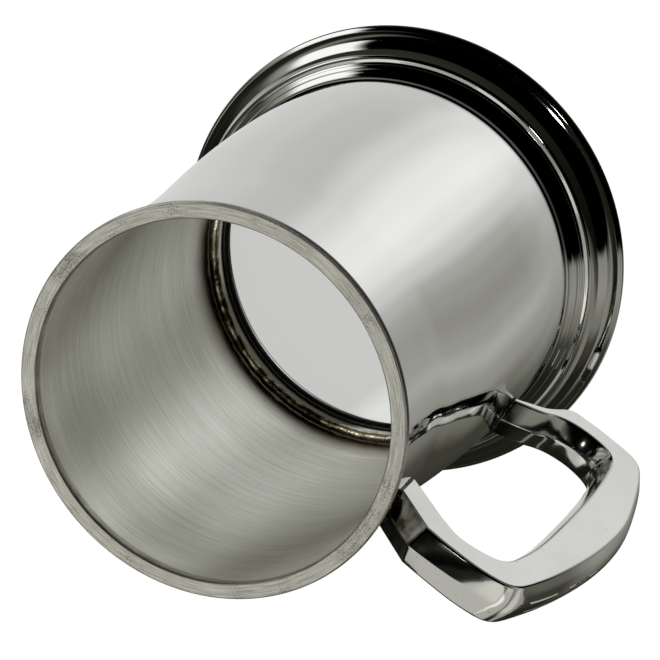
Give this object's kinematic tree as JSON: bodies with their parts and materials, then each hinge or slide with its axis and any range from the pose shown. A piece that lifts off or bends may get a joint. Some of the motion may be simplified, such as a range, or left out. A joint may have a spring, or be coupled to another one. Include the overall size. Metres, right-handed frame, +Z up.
{
  "type": "glass-bottomed pewter tankard",
  "caption": "Mirror-polished pewter drinking tankard: waisted barrel with a rim band, flared spun foot, clear glass bottom in a rubber seal, and an angular cast handle.",
  "frame": {"origin": "on the ground, at the centre of the rectangle that the whole tankard covers, handle included; the barrel's axis stands 13.75 mm to -X of it", "axes": "+Z up out of the mouth, +X from the barrel towards the handle, +Y across the handle's plane"},
  "size_m": [0.1368, 0.1094, 0.12],
  "materials": {
    "polished_pewter": "mirror-polished pewter",
    "spun_pewter": "satin, fine circumferential turning marks",
    "worn_pewter": "satin, handled and finely scratched",
    "solder": "rough as-run solder",
    "black_rubber": "matt black seal",
    "clear_glass": "clear flat glass with ground edges"
  },
  "bodies": {
    "root": {"barrel": "polished_pewter", "rim_band": "worn_pewter", "foot": "polished_pewter", "seat_collar": "spun_pewter", "glass_seal": "black_rubber", "glass_disc": "clear_glass", "base_solder_bead": "solder", "foot_solder_seam": "solder", "handle": "polished_pewter", "upper_root_solder": "solder", "lower_root_solder": "solder"}
  },
  "joints": []
}
